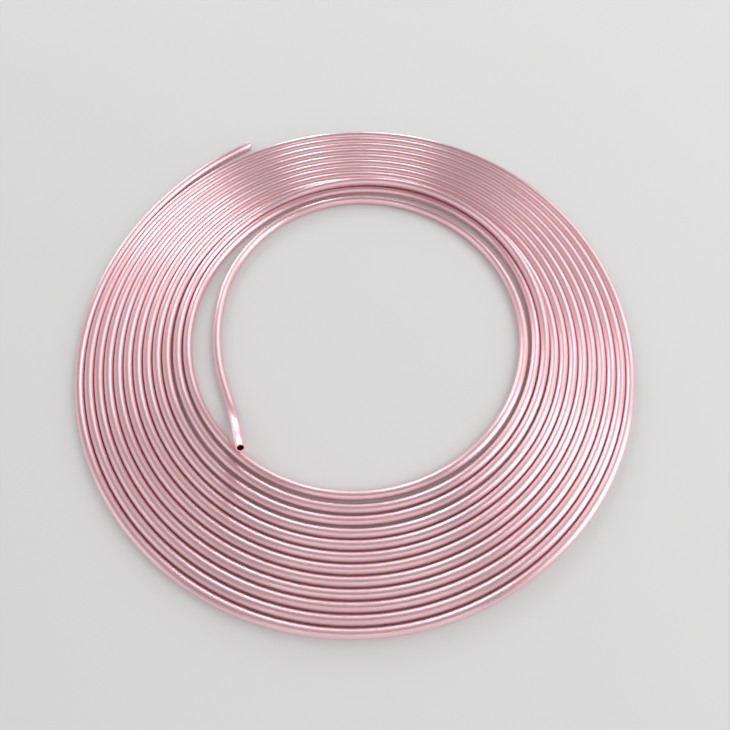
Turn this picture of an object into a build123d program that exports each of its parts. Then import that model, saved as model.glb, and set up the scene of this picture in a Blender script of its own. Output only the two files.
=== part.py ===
from build123d import *
from math import asin, ceil, cos, degrees, radians, sin, tan
import os

# Soft copper tube, wound as a flat spiral that lies on a bench. The outer end springs away from the
# coil. The inner end swings through its open centre and turns up over the innermost turn. At one
# place a turn rides over its outer neighbour, and the coil is two tubes high.
# All sizes are in millimetres and degrees. Azimuths run anticlockwise from +X, seen from above, and
# the tube is followed from its outer end inwards, which is anticlockwise too.

# The tube
tube_diameter = 6.35
tube_wall = 0.762

# The winding, measured to the middle of the tube
outer_turn_radius = 198.8
turn_gap = 0.36             # mean clear width between neighbouring turns
full_turns = 11.79          # from where the outer end leaves the coil to where the inner one does
creep_per_turn = 0.22       # each turn's centre creeps this far towards the crossing, from hand winding
oval_per_turn = 0.32         # how much more the quarter turns' radii differ with each turn

# The crossing. The quarter turns meet at its azimuth and every 90 degrees on, at corners that are
# counted from 0, which is where the outermost turn passes the crossing's azimuth.
crossing_azimuth = 60.0
crossing_turn = 9           # how many whole turns lie outside the turn that rides
crossing_dip = 0.15         # it lies this much lower than right on top of its neighbour
crossing_swing = 0.5        # how far out it swings there
follower_swing = 3.2        # and how far the next turn follows it
swing_side_angle = 35.0     # how soon a swing turns back

# Corners of the loose innermost turns, where the winding steps in by more than its share of the
# pitch or by less, each with the difference
loose_corners = {39: 0.36, 41: 0.38, 42: 1.3, 43: -0.35, 44: -0.35, 45: 0.45, 46: -0.35, 47: 0.2}

# The outer end
outer_end_azimuth = 123.0
outer_spring_angle = 40.0   # how much of the first turn has sprung open
outer_spring_relief = 22.0  # and how much larger its radius is

# The inner end leaves in a bend that is tighter than the last turn, and relaxes before it turns up
inner_spring_step = 14.1
inner_spring_angle = 84.6
inner_relief = 38.5
inner_relief_angle = 28.7
inner_run_length = 12.0
turn_up_radius = 60.0
turn_up_angle = 30.0

# Both ends are straight for this far, so that a fitting slides on
end_straight = 12.0

tube_radius = tube_diameter / 2
bore_radius = tube_radius - tube_wall
turn_pitch = tube_diameter + turn_gap
crossing_height = tube_diameter - crossing_dip
first_azimuth = outer_end_azimuth + outer_spring_angle
last_azimuth = first_azimuth + 360 * full_turns


class Trail:
    # the middle line of the tube as it is laid, each edge tangent to the one before

    def __init__(self, point, azimuth):
        self.edges = []
        self.point = point
        self.heading = Vector(1, 0, 0).rotate(Axis.Z, azimuth)

    def add(self, edge):
        self.edges.append(edge)
        self.point = edge @ 1
        self.heading = edge % 1

    def straight(self, length):
        self.add(Edge.make_line(self.point, self.point + self.heading * length))

    def bend(self, radius, angle, lean=0):
        # a bend to the left. It lies flat, or its plane leans: a little lean lifts the tube as it
        # turns, and a lean of 90 degrees turns it straight up.
        left = Vector(0, 0, 1).cross(self.heading).normalized()
        upright = self.heading.cross(left)
        normal = upright.rotate(Axis((0, 0, 0), self.heading), lean)
        plane = Plane(origin=self.point, x_dir=self.heading, z_dir=normal)
        self.add(plane * JernArc((0, 0), (1, 0), radius, angle).edge())


def corner_step(corner):
    # how much the radius falls at a corner. A bend that is tangent to the one before, with a radius
    # smaller by one step, has its centre moved by that step, so four equal steps give one pitch.
    side = corner % 4
    creep = {0: creep_per_turn / 2, 2: -creep_per_turn / 2}.get(side, 0)
    oval = oval_per_turn * corner / 4
    return turn_pitch / 4 + creep + (oval if side % 2 else -oval) + loose_corners.get(corner, 0)


def swing(radius, outwards, upwards):
    # half a turn that swings out of the winding and back into it: a wide bend, a tighter one over the
    # top that leans the other way, and the first again in mirror image. The first lean comes from the
    # height, and the later two bring the tube level at the top and at the end.
    side = radians(swing_side_angle)
    top = radians(90) - side
    widening = outwards / (cos(top) - (1 - sin(top)) * (1 - cos(top)) / sin(top))
    side_radius = radius + widening
    top_radius = (radius - side_radius * (1 - sin(top))) / sin(top)
    rise = side_radius * (1 - cos(side)) + top_radius * (1 - cos(top)) * sin(side) / sin(top)
    lean = asin(upwards / rise)
    slope = asin(sin(side) * sin(lean))
    yield side_radius, swing_side_angle, degrees(lean)
    yield top_radius, 2 * degrees(top), -degrees(asin(tan(slope) / tan(top)))
    yield side_radius, swing_side_angle, degrees(asin(tan(slope) / tan(side)))


def winding():
    # the radius, angle and lean of each bend, from the outside in. A swing starts a quarter turn
    # before the crossing.
    swings = {
        4 * crossing_turn + 3: (crossing_swing, crossing_height),
        4 * crossing_turn + 7: (follower_swing, 0),
    }
    radius = outer_turn_radius
    azimuth = first_azimuth
    corner = ceil((azimuth - crossing_azimuth) / 90)
    while azimuth < last_azimuth:
        if corner - 1 in swings and azimuth + 180 <= last_azimuth:
            step = corner_step(corner)
            yield from swing(radius - step / 2, *swings[corner - 1])
            azimuth += 180
            radius -= step
            corner += 1
        else:
            stop = min(crossing_azimuth + 90 * corner, last_azimuth)
            yield radius, stop - azimuth, 0
            azimuth = stop
        radius -= corner_step(corner)
        corner += 1


trail = Trail(Vector(0, 0, tube_radius), outer_end_azimuth + 90)
trail.straight(end_straight)
trail.bend(outer_turn_radius + outer_spring_relief, outer_spring_angle)
for bend_radius, bend_angle, lean in winding():
    trail.bend(bend_radius, bend_angle, lean)
inner_spring_radius = bend_radius - inner_spring_step
trail.bend(inner_spring_radius, inner_spring_angle)
trail.bend(inner_spring_radius + inner_relief, inner_relief_angle)
trail.straight(inner_run_length)
trail.bend(turn_up_radius, turn_up_angle, lean=90)
trail.straight(end_straight)

middle_line = Wire(trail.edges)
start_plane = Plane(origin=middle_line @ 0, z_dir=middle_line % 0)
section = start_plane * (Circle(tube_radius) - Circle(bore_radius))
tube = sweep(section, path=middle_line)

# the coil's own frame: the middle of its outer box, on the bench
box = tube.bounding_box()
tube = Pos(-box.center().X, -box.center().Y, -box.min.Z) * tube

os.makedirs("parts", exist_ok=True)
export_step(tube, "parts/copper_tube.step")

print("tube length", round(middle_line.length, 1))
print("volume", round(tube.volume, 1), "and section times length", round(section.area * middle_line.length, 1))
for cut_end in tube.faces().filter_by(GeomType.PLANE):
    print("cut end at", cut_end.center(), "facing", cut_end.normal_at())
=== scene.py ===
import bpy
from math import asin, ceil, cos, degrees, pi, radians, sin, tan
from mathutils import Matrix, Vector


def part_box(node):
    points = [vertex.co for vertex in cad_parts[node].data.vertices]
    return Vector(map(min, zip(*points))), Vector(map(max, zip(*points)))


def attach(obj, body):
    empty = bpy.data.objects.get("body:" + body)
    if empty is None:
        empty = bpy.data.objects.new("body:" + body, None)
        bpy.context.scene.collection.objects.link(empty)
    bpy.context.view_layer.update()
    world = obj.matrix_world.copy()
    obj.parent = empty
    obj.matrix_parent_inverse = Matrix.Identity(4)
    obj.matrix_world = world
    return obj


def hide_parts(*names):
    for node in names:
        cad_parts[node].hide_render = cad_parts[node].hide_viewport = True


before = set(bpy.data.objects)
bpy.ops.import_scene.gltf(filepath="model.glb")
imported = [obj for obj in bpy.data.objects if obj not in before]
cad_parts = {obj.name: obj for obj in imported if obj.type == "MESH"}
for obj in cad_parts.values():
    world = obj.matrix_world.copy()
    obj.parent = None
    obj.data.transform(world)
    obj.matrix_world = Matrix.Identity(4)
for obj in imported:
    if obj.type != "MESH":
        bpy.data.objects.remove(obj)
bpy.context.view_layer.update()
mm = 0.001
print("frame loaded")

# the tube: millimetres and degrees, followed from the outer end of the coil inwards, which is
# anticlockwise seen from above. The loose inner turns were set by a second reading of the photo, so
# the skin lies up to 2.6 mm from the solid.
tubeCoil = {
    "diameter": 6.35,
    "wall": 0.762,
    "outerTurnRadius": 198.8,
    "turnGap": 0.36,
    "fullTurns": 11.786,
    "creepPerTurn": 0.27,
    "ovalPerTurn": 0.23,
    "crossingAzimuth": 60.0,
    "crossingTurn": 9,          # whole turns outside the one that rides over its neighbour
    "crossingDip": 0.15,
    "crossingSwing": 1.9,
    "followerSwing": 5.0,
    "swingSideAngle": 35.0,
    "looseCorners": {
        37: 0.42, 38: -0.36, 39: 0.64, 40: -0.09, 41: -0.39, 42: 0.88,
        43: -0.17, 44: -0.17, 45: 0.56, 46: 0.27, 47: -0.6, 48: -0.25,
    },
    "outerEndAzimuth": 123.0,
    "outerSpringAngle": 40.0,
    "outerSpringRelief": 22.0,
    "innerSpringStep": 15.39,
    "innerSpringAngle": 83.92,
    "innerRelief": 37.82,
    "innerReliefAngle": 30.79,
    "innerRunLength": 12.0,
    "turnUpRadius": 60.0,
    "turnUpAngle": 30.0,
    "endStraight": 12.0,
    "roundSides": 28,           # sides of the outside and of the bore
    "boreSides": 20,
    "ringAngle": 2.6,           # the most that the tube turns from one ring of the mesh to the next
    # how the cutter's wheel rolled both ends in: lengthwise and inwards, ring by ring to the cut
    "outsideLip": ((0.22, 0.04), (0.16, 0.08), (0.10, 0.10)),
    "boreLip": ((0.30, 0.03), (0.18, 0.09)),
    # the bake's map: rows for the outside and for the bore, their heights and the gap between rows
    "outsideRows": 24,
    "outsideRowHeight": 0.0375,
    "boreRows": 4,
    "boreRowHeight": 0.0125,
    "rowGap": 0.003,
    "rowSpare": 10,             # each row has room for this much more tube
    "outerEndSpot": (0.025, 0.975),
    "innerEndSpot": (0.075, 0.975),
    "endSpotRadius": 0.021,
    "endSpotDepth": 0.8,        # how far the spot's rings run in from its rim
    "closeBy": 0.01,            # nearer than this is the same place, and corners twice as far are merged
    "sharpAngle": 50,
}
# copper: bright, pink and drawn lengthwise, which spreads what it reflects round the tube. Each
# noise has its density, so many to the metre lengthwise and round the tube. What it shows or
# roughens runs from one value of the noise to another, and from one share to another.
copperFinish = {
    "bright": (0.95, 0.655, 0.70, 1.0),
    "filmed": (0.88, 0.53, 0.52, 1.0),      # under a thin film of oxide
    "fingered": (0.74, 0.43, 0.39, 1.0),    # where it was handled
    "roughness": 0.30,
    "anisotropy": 0.88,
    "acrossTheLines": 0.25,                 # of a whole turn
    "drawLines": (9, 700),
    "linesShow": (0.45, 0.72, 0.0, 0.38),
    "linesRoughen": (0.3, 0.7, -0.04, 0.05),
    "film": (13, 70),
    "filmShows": (0.42, 0.75, 0.0, 0.55),
    "filmRoughens": (0.42, 0.75, 0.0, 0.07),
    "fingerMarks": (55, 130),
    "marksShow": (0.66, 0.80, 0.0, 0.5),
    "marksRoughen": (0.62, 0.80, 0.0, 0.10),
    "fineLines": (60, 4200),
    "fineShare": 0.35,
    "lineStrength": 0.55,
    "lineDepth": 0.00002,
    "cut": (0.96, 0.66, 0.55, 1.0),
    "wheelLines": (2500, 2500),
    "wheelShows": (0.4, 0.7, 0.0, 0.5),
    "cutRoughness": (0.3, 0.7, 0.22, 0.38),
    "bore": (0.10, 0.045, 0.032, 1.0),
    "boreSheen": (0.20, 0.10, 0.08, 1.0),
    "boreFilm": (70, 260),
    "boreFilmShows": (0.35, 0.7, 0.0, 0.6),
    "boreRoughness": (0.3, 0.7, 0.47, 0.67),
}


def addNode(tree, kind, **values):
    node = tree.nodes.new("ShaderNode" + kind)
    for name, value in values.items():
        setattr(node, name, value)
    return node


def mathNode(tree, operation, first, second=None):
    node = addNode(tree, "Math", operation=operation)
    for socket, value in zip(node.inputs, (first, second)):
        if isinstance(value, bpy.types.NodeSocket):
            tree.links.new(value, socket)
        elif value is not None:
            socket.default_value = value
    return node.outputs[0]


def unrolledPlace(tree):
    # a place on the tube as if it were straight: metres along it, and its two metres across it
    tubeMap = addNode(tree, "UVMap", uv_map="lengthwise")
    split = addNode(tree, "SeparateXYZ")
    tree.links.new(tubeMap.outputs[0], split.inputs[0])
    angle = mathNode(tree, "MULTIPLY", split.outputs["Y"], 2 * pi)
    radius = tubeCoil["diameter"] / 2 * mm
    place = addNode(tree, "CombineXYZ")
    tree.links.new(split.outputs["X"], place.inputs["X"])
    tree.links.new(mathNode(tree, "MULTIPLY", mathNode(tree, "COSINE", angle), radius), place.inputs["Y"])
    tree.links.new(mathNode(tree, "MULTIPLY", mathNode(tree, "SINE", angle), radius), place.inputs["Z"])
    return place.outputs[0]


def stretchedNoise(tree, place, density, detail, roughness=0.55):
    mapping = addNode(tree, "Mapping", vector_type="POINT")
    mapping.inputs["Scale"].default_value = (density[0], density[1], density[1])
    tree.links.new(place, mapping.inputs["Vector"])
    noise = addNode(tree, "TexNoise")
    noise.inputs["Scale"].default_value = 1.0
    noise.inputs["Detail"].default_value = detail
    noise.inputs["Roughness"].default_value = roughness
    tree.links.new(mapping.outputs[0], noise.inputs["Vector"])
    return noise.outputs["Fac"]


def spreadOver(tree, value, low, high, newLow, newHigh):
    node = addNode(tree, "MapRange")
    for name, number in (("From Min", low), ("From Max", high), ("To Min", newLow), ("To Max", newHigh)):
        node.inputs[name].default_value = number
    tree.links.new(value, node.inputs["Value"])
    return node.outputs[0]


def mixColours(tree, share, first, second):
    node = addNode(tree, "Mix", data_type="RGBA")
    tree.links.new(share, node.inputs["Factor"])
    for socket, value in ((node.inputs[6], first), (node.inputs[7], second)):
        if isinstance(value, bpy.types.NodeSocket):
            tree.links.new(value, socket)
        else:
            socket.default_value = value
    return node.outputs[2]


def newMetal(name):
    material = bpy.data.materials.new(name)
    material.use_nodes = True
    shader = material.node_tree.nodes["Principled BSDF"]
    shader.inputs["Metallic"].default_value = 1.0
    return material, material.node_tree, shader


def drawnCopper():
    finish = copperFinish
    material, tree, shader = newMetal("drawnCopper")
    place = unrolledPlace(tree)
    lines = stretchedNoise(tree, place, finish["drawLines"], 3)
    fine = stretchedNoise(tree, place, finish["fineLines"], 2)
    film = stretchedNoise(tree, place, finish["film"], 4, 0.62)
    marks = stretchedNoise(tree, place, finish["fingerMarks"], 3)
    filmShare = spreadOver(tree, film, *finish["filmShows"])
    colour = mixColours(tree, filmShare, finish["bright"], finish["filmed"])
    markShare = spreadOver(tree, marks, *finish["marksShow"])
    colour = mixColours(tree, markShare, colour, finish["fingered"])
    lineShare = spreadOver(tree, lines, *finish["linesShow"])
    colour = mixColours(tree, lineShare, colour, finish["filmed"])
    tree.links.new(colour, shader.inputs["Base Color"])
    rough = finish["roughness"]
    for noise, roughens in ((lines, "linesRoughen"), (film, "filmRoughens"), (marks, "marksRoughen")):
        rough = mathNode(tree, "ADD", spreadOver(tree, noise, *finish[roughens]), rough)
    tree.links.new(rough, shader.inputs["Roughness"])
    shader.inputs["Anisotropic"].default_value = finish["anisotropy"]
    shader.inputs["Anisotropic Rotation"].default_value = finish["acrossTheLines"]
    tangent = addNode(tree, "Tangent", direction_type="UV_MAP", uv_map="lengthwise")
    tree.links.new(tangent.outputs[0], shader.inputs["Tangent"])
    height = mathNode(tree, "ADD", lines, mathNode(tree, "MULTIPLY", fine, finish["fineShare"]))
    bump = addNode(tree, "Bump")
    bump.inputs["Strength"].default_value = finish["lineStrength"]
    bump.inputs["Distance"].default_value = finish["lineDepth"]
    tree.links.new(height, bump.inputs["Height"])
    tree.links.new(bump.outputs[0], shader.inputs["Normal"])
    return material


def cutCopper():
    # freshly cut metal, with the fine marks of the cutter's wheel
    finish = copperFinish
    material, tree, shader = newMetal("cutCopper")
    place = addNode(tree, "TexCoord").outputs["Object"]
    wheel = stretchedNoise(tree, place, finish["wheelLines"], 2)
    wheelShare = spreadOver(tree, wheel, *finish["wheelShows"])
    colour = mixColours(tree, wheelShare, finish["cut"], finish["filmed"])
    tree.links.new(colour, shader.inputs["Base Color"])
    tree.links.new(spreadOver(tree, wheel, *finish["cutRoughness"]), shader.inputs["Roughness"])
    return material


def boreCopper():
    # dull and brown inside
    finish = copperFinish
    material, tree, shader = newMetal("boreCopper")
    place = unrolledPlace(tree)
    film = stretchedNoise(tree, place, finish["boreFilm"], 4)
    filmShare = spreadOver(tree, film, *finish["boreFilmShows"])
    colour = mixColours(tree, filmShare, finish["bore"], finish["boreSheen"])
    tree.links.new(colour, shader.inputs["Base Color"])
    tree.links.new(spreadOver(tree, film, *finish["boreRoughness"]), shader.inputs["Roughness"])
    return material


copperSlots = [drawnCopper(), cutCopper(), boreCopper()]
print("copper mixed")

upward = Vector((0, 0, 1))


def cornerStep(corner):
    # how much the radius falls where two quarter turns meet
    coil = tubeCoil
    side = corner % 4
    creep = {0: coil["creepPerTurn"] / 2, 2: -coil["creepPerTurn"] / 2}.get(side, 0)
    oval = coil["ovalPerTurn"] * corner / 4
    pitch = coil["diameter"] + coil["turnGap"]
    return pitch / 4 + creep + (oval if side % 2 else -oval) + coil["looseCorners"].get(corner, 0)


def swingBends(radius, outwards, upwards):
    # half a turn that swings out of the winding, up over its neighbour if it rises, and back
    side = radians(tubeCoil["swingSideAngle"])
    top = radians(90) - side
    widening = outwards / (cos(top) - (1 - sin(top)) * (1 - cos(top)) / sin(top))
    sideRadius = radius + widening
    topRadius = (radius - sideRadius * (1 - sin(top))) / sin(top)
    rise = sideRadius * (1 - cos(side)) + topRadius * (1 - cos(top)) * sin(side) / sin(top)
    lean = asin(upwards / rise)
    slope = asin(sin(side) * sin(lean))
    yield sideRadius, degrees(side), degrees(lean)
    yield topRadius, 2 * degrees(top), -degrees(asin(tan(slope) / tan(top)))
    yield sideRadius, degrees(side), degrees(asin(tan(slope) / tan(side)))


def windingBends():
    # radius, angle and lean of each bend of the winding
    coil = tubeCoil
    crossingCorner = 4 * coil["crossingTurn"] + 3
    crossingHeight = coil["diameter"] - coil["crossingDip"]
    swings = {
        crossingCorner: (coil["crossingSwing"], crossingHeight),
        crossingCorner + 4: (coil["followerSwing"], 0),
    }
    radius = coil["outerTurnRadius"]
    azimuth = coil["outerEndAzimuth"] + coil["outerSpringAngle"]
    lastAzimuth = azimuth + 360 * coil["fullTurns"]
    corner = ceil((azimuth - coil["crossingAzimuth"]) / 90)
    while azimuth < lastAzimuth:
        if corner - 1 in swings and azimuth + 180 <= lastAzimuth:
            step = cornerStep(corner)
            yield from swingBends(radius - step / 2, *swings[corner - 1])
            azimuth += 180
            radius -= step
            corner += 1
        else:
            stop = min(coil["crossingAzimuth"] + 90 * corner, lastAzimuth)
            yield radius, stop - azimuth, 0
            azimuth = stop
        radius -= cornerStep(corner)
        corner += 1


def tubeRoute():
    # straights as (length,) and bends as (radius, angle, lean), from the outer end to the inner one
    coil = tubeCoil
    bends = list(windingBends())
    springRadius = bends[-1][0] - coil["innerSpringStep"]
    lipLength = sum(advance for advance, inwards in coil["outsideLip"])
    cutStraight = coil["endStraight"] - lipLength
    route = [(cutStraight,)]
    route.append((coil["outerTurnRadius"] + coil["outerSpringRelief"], coil["outerSpringAngle"], 0))
    route += bends
    route.append((springRadius, coil["innerSpringAngle"], 0))
    route.append((springRadius + coil["innerRelief"], coil["innerReliefAngle"], 0))
    route.append((coil["innerRunLength"],))
    route.append((coil["turnUpRadius"], coil["turnUpAngle"], 90))
    route.append((cutStraight,))
    return route


def tubeSection(name):
    # the outside and the bore as two rings, square to local Z
    coil = tubeCoil
    outside = coil["diameter"] / 2 * mm
    bpy.ops.object.select_all(action="DESELECT")
    bpy.ops.mesh.primitive_circle_add(vertices=coil["roundSides"], radius=outside)
    section = bpy.context.object
    section.name = name
    bpy.ops.object.mode_set(mode="EDIT")
    bpy.ops.mesh.primitive_circle_add(vertices=coil["boreSides"], radius=outside - coil["wall"] * mm)
    bpy.ops.object.mode_set(mode="OBJECT")
    for material in copperSlots:
        section.data.materials.append(material)
    return section


def tubeLength():
    # between the two rings where the rolled ends begin
    return sum(leg[0] if len(leg) == 1 else leg[0] * radians(leg[1]) for leg in tubeRoute()) * mm


def mapLeg(leg, start, spacing):
    # two UV maps: on "lengthwise", u is the metres along the tube and v goes once round it, and on
    # "OFBake" the tube is cut into rows that fill a square
    coil = tubeCoil
    sides = coil["roundSides"] + coil["boreSides"]
    whole = tubeLength()
    lengthwise = leg.data.uv_layers.new(name="lengthwise")
    rows = leg.data.uv_layers.new(name="OFBake")
    for face in leg.data.polygons:
        rings = [leg.data.loops[k].vertex_index // sides for k in face.loop_indices]
        columns = [leg.data.loops[k].vertex_index % sides for k in face.loop_indices]
        onBore = columns[0] >= coil["roundSides"]
        if onBore:
            columns = [c - coil["roundSides"] for c in columns]
            count, rowCount, height = coil["boreSides"], coil["boreRows"], coil["boreRowHeight"]
            floorOfRows = coil["outsideRows"] * coil["outsideRowHeight"]
        else:
            count, rowCount, height = coil["roundSides"], coil["outsideRows"], coil["outsideRowHeight"]
            floorOfRows = 0
        rowLength = whole / rowCount
        row = min(int((start + min(rings) * spacing) / rowLength + 1e-6), rowCount - 1)
        acrossSeam = max(columns) - min(columns) > 1
        for k, ring, column in zip(face.loop_indices, rings, columns):
            along = start + ring * spacing
            around = (count if acrossSeam and column == 0 else column) / count
            lengthwise.data[k].uv = (along, around)
            gap = coil["rowGap"]
            across = (along - row * rowLength) / (rowLength + coil["rowSpare"] * mm) * (1 - 2 * gap) + gap
            up = floorOfRows + row * height + gap / 2 + around * (height - gap)
            rows.data[k].uv = (across, up)
        face.material_index = 2 if onBore else 0


def selectPoints(leg, chosen):
    bpy.ops.object.mode_set(mode="EDIT")
    bpy.ops.mesh.select_mode(type="VERT")
    bpy.ops.mesh.select_all(action="DESELECT")
    bpy.ops.object.mode_set(mode="OBJECT")
    for i in chosen:
        leg.data.vertices[i].select = True
    bpy.ops.object.mode_set(mode="EDIT")


def cutEnd(leg, centre, outward, spot):
    # both edges of the wall are rolled in, ring by ring, and the face between them is filled
    coil = tubeCoil
    outside = coil["diameter"] / 2
    bore = outside - coil["wall"]
    close = coil["closeBy"] * mm
    cut = []
    for radius, lip in ((outside, coil["outsideLip"]), (bore, coil["boreLip"])):
        ring = [
            v.index for v in leg.data.vertices
            if abs((v.co - centre).dot(outward)) < close and abs((v.co - centre).length - radius * mm) < close
        ]
        edge = centre.copy()
        for advance, inwards in lip:
            selectPoints(leg, ring)
            bpy.ops.mesh.extrude_edges_move(TRANSFORM_OT_translate={"value": outward * advance * mm})
            edge += outward * advance * mm
            shrink = (radius - inwards) / radius
            bpy.ops.transform.resize(value=(shrink, shrink, shrink), center_override=edge)
            radius -= inwards
            bpy.ops.object.mode_set(mode="OBJECT")
            ring = [v.index for v in leg.data.vertices if v.select]
        cut += ring
    selectPoints(leg, cut)
    bpy.ops.mesh.fill(use_beauty=True)
    bpy.ops.object.mode_set(mode="OBJECT")
    print("cut end at", [round(c / mm, 2) for c in edge], "with", len(cut), "corners")
    # the rolled rings and the cut go on a round spot of the bake's map, the outside at its rim
    rolledOutside = sum(advance + inwards for advance, inwards in coil["outsideLip"])
    rolledBore = sum(advance + inwards for advance, inwards in coil["boreLip"])
    profile = rolledOutside + coil["wall"] + rolledBore
    sideways = outward.orthogonal().normalized()
    square = outward.cross(sideways)
    rows = leg.data.uv_layers["OFBake"]
    for face in leg.data.polygons:
        if (face.center - centre).dot(outward) < close:
            continue
        face.material_index = 1
        for k in face.loop_indices:
            place = leg.data.vertices[leg.data.loops[k].vertex_index].co - centre
            advance = place.dot(outward) / mm
            flat = place - outward * place.dot(outward)
            radius = flat.length / mm
            if radius > (outside + bore) / 2:
                travelled = advance + outside - radius
            else:
                travelled = profile - advance - (bore - radius)
            reach = coil["endSpotRadius"] * (1 - coil["endSpotDepth"] * travelled / profile)
            flat.normalize()
            rows.data[k].uv = (spot[0] + reach * flat.dot(sideways), spot[1] + reach * flat.dot(square))


def layTube():
    # one leg for each straight and bend of the route, spun about the bend's own centre
    coil = tubeCoil
    section = tubeSection("tubeSection")
    place = Matrix.Rotation(radians(coil["outerEndAzimuth"] + 90), 4, "Z")
    place = Matrix.Translation((0, 0, coil["diameter"] / 2 * mm)) @ place @ Matrix.Rotation(pi / 2, 4, "Y")
    legs = []
    along = 0.0
    for number, step in enumerate(tubeRoute()):
        bpy.ops.object.select_all(action="DESELECT")
        section.select_set(True)
        bpy.context.view_layer.objects.active = section
        bpy.ops.object.duplicate()
        leg = bpy.context.object
        leg.name = f"tubeLeg{number}"
        leg.matrix_world = place
        bpy.ops.object.transform_apply(location=True, rotation=True, scale=True)
        heading = place.to_3x3() @ upward
        point = place.to_translation()
        bpy.ops.object.mode_set(mode="EDIT")
        bpy.ops.mesh.select_all(action="SELECT")
        if len(step) == 1:
            length = step[0] * mm
            bpy.ops.mesh.extrude_region_move(TRANSFORM_OT_translate={"value": heading * length})
            rings = 1
            place = Matrix.Translation(heading * length) @ place
        else:
            radius, angle, lean = step
            left = upward.cross(heading).normalized()
            normal = Matrix.Rotation(radians(lean), 3, heading) @ heading.cross(left)
            centre = point + normal.cross(heading) * radius * mm
            length = radius * mm * radians(angle)
            rings = ceil(angle / coil["ringAngle"])
            bpy.ops.mesh.spin(steps=rings, angle=-radians(angle), center=centre, axis=normal)
            turn = Matrix.Rotation(radians(angle), 4, normal)
            place = Matrix.Translation(centre) @ turn @ Matrix.Translation(-centre) @ place
        bpy.ops.object.mode_set(mode="OBJECT")
        mapLeg(leg, along, length / rings)
        if not legs:
            cutEnd(leg, point, -heading, coil["outerEndSpot"])
        along += length
        legs.append(leg)
    cutEnd(legs[-1], place.to_translation(), place.to_3x3() @ upward, coil["innerEndSpot"])
    bpy.data.objects.remove(section)
    print("tube laid,", round(along, 3), "m long in", len(legs), "legs")
    return legs


def joinTube(legs):
    # the legs become one skin, which is put where the CAD coil lies
    bpy.ops.object.select_all(action="DESELECT")
    for leg in legs:
        leg.select_set(True)
    bpy.context.view_layer.objects.active = legs[0]
    bpy.ops.object.join()
    tube = bpy.context.object
    tube.name = "coiled_copper_tube"
    bpy.ops.object.mode_set(mode="EDIT")
    bpy.ops.mesh.select_all(action="SELECT")
    bpy.ops.mesh.remove_doubles(threshold=2 * tubeCoil["closeBy"] * mm)
    bpy.ops.mesh.normals_make_consistent(inside=False)
    bpy.ops.object.mode_set(mode="OBJECT")
    bpy.ops.object.shade_smooth_by_angle(angle=radians(tubeCoil["sharpAngle"]))
    low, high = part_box("copper_tube")
    for k in range(2):
        reach = [v.co[k] for v in tube.data.vertices]
        tube.location[k] = (low[k] + high[k]) / 2 - (min(reach) + max(reach)) / 2
    print("moved onto the CAD coil by", [round(c / mm, 3) for c in tube.location], "mm")
    bpy.ops.object.transform_apply(location=True, rotation=True, scale=True)
    return tube


tube = joinTube(layTube())
print("tube joined,", sum(len(f.vertices) - 2 for f in tube.data.polygons), "triangles")
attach(tube, "root")
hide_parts("copper_tube")

# the floor and the light
studio = {
    "floorSize": 8.0,
    "floorColour": (0.70, 0.69, 0.675, 1.0),
    "floorRoughness": 0.85,
    "floorSpecular": 0.2,
    "airLow": (0.95, 0.97, 1.0, 1.0),
    "airOverhead": (1.0, 0.88, 0.88, 1.0),
    "airBrightness": (0.92, 0.27),      # low down, and straight overhead
    "airFades": (0.3, 1.0),             # between these heights on a dome one high
    "backdrop": (0.78, 0.77, 0.76, 1.0),
    "lampDistance": 2.0,
    # azimuth and elevation, width and height in degrees as the coil sees them, and brightness
    "lamps": {
        "rightLamp": (346, 38, 38, 44, 2.3),
        "farLamp": (128, 27, 26, 28, 2.5),
        "backLamp": (82, 18, 12, 14, 5.4),
        "windowLamp": (99, 20, 8, 14, 8.0),
        "cornerLamp": (40, 46, 46, 30, 1.6),
        "leftLamp": (196, 38, 30, 26, 0.6),
        "frontLamp": (270, 56, 70, 18, 1.2),
    },
    "lampColour": (0.92, 0.98, 1.0),
}


def layFloor():
    bpy.ops.object.select_all(action="DESELECT")
    bpy.ops.mesh.primitive_plane_add(size=studio["floorSize"], location=(0, 0, 0))
    floor = bpy.context.object
    floor.name = "floor"
    material = bpy.data.materials.new("paleFloor")
    material.use_nodes = True
    shader = material.node_tree.nodes["Principled BSDF"]
    shader.inputs["Base Color"].default_value = studio["floorColour"]
    shader.inputs["Roughness"].default_value = studio["floorRoughness"]
    shader.inputs["Specular IOR Level"].default_value = studio["floorSpecular"]
    floor.data.materials.append(material)


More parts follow.
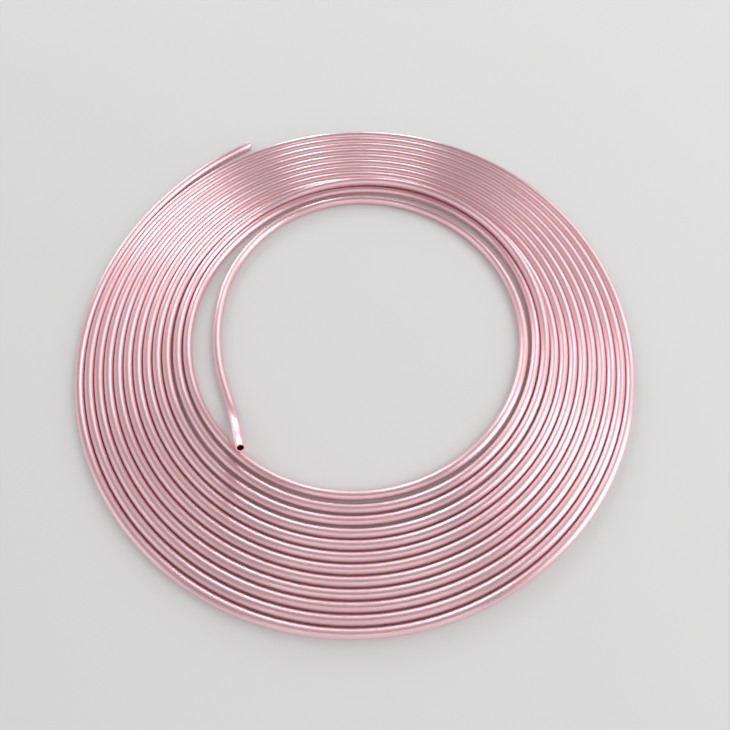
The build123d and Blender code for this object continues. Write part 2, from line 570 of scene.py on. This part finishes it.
def hangLamp(name, azimuth, elevation, width, height, brightness):
    # a large soft lamp that looks at the coil
    across, up = radians(azimuth), radians(elevation)
    out = Vector((cos(across) * cos(up), sin(across) * cos(up), sin(up)))
    bpy.ops.object.light_add(type="AREA", location=out * studio["lampDistance"])
    lamp = bpy.context.object
    lamp.name = name
    lamp.data.shape = "RECTANGLE"
    lamp.data.size = 2 * studio["lampDistance"] * tan(radians(width / 2)) * cos(up)
    lamp.data.size_y = 2 * studio["lampDistance"] * tan(radians(height / 2))
    lamp.data.energy = brightness * pi * lamp.data.size * lamp.data.size_y
    lamp.data.color = studio["lampColour"]
    lamp.rotation_euler = out.to_track_quat("Z", "Y").to_euler()


def fillAir():
    # soft light from all round, darker overhead, and a pale backdrop that only the camera sees
    world = bpy.data.worlds.new("studioAir")
    bpy.context.scene.world = world
    world.use_nodes = True
    tree = world.node_tree
    light = tree.nodes["Background"]
    height = addNode(tree, "SeparateXYZ")
    tree.links.new(addNode(tree, "TexCoord").outputs["Generated"], height.inputs[0])
    overhead = spreadOver(tree, height.outputs["Z"], *studio["airFades"], 0.0, 1.0)
    tree.links.new(mixColours(tree, overhead, studio["airLow"], studio["airOverhead"]), light.inputs["Color"])
    tree.links.new(spreadOver(tree, overhead, 0.0, 1.0, *studio["airBrightness"]), light.inputs["Strength"])
    backdrop = addNode(tree, "Background")
    backdrop.inputs["Color"].default_value = studio["backdrop"]
    path = addNode(tree, "LightPath")
    mix = addNode(tree, "MixShader")
    tree.links.new(path.outputs["Is Camera Ray"], mix.inputs[0])
    tree.links.new(light.outputs[0], mix.inputs[1])
    tree.links.new(backdrop.outputs[0], mix.inputs[2])
    tree.links.new(mix.outputs[0], tree.nodes["World Output"].inputs["Surface"])


layFloor()
for lampName, lampValues in studio["lamps"].items():
    hangLamp(lampName, *lampValues)
fillAir()
print("floor and lamps set")

# the camera, where the photograph was taken from
camera = {
    "place": (7.72, -175.36, 345.31),
    "tilt": 23.69,
    "roll": -1.602,
    "lens": 25.84,
    "sensor": 36,
    "nearest": 0.01,
}


def setCamera():
    bpy.ops.object.camera_add()
    view = bpy.context.object
    view.name = "camera"
    tilt = Matrix.Rotation(radians(camera["tilt"]), 4, "X")
    roll = Matrix.Rotation(radians(camera["roll"]), 4, "Z")
    view.matrix_world = Matrix.Translation(Vector(camera["place"]) * mm) @ tilt @ roll
    view.data.lens = camera["lens"]
    view.data.sensor_width = camera["sensor"]
    view.data.clip_start = camera["nearest"]
    bpy.context.scene.camera = view


setCamera()
bpy.context.scene.view_settings.view_transform = "Standard"
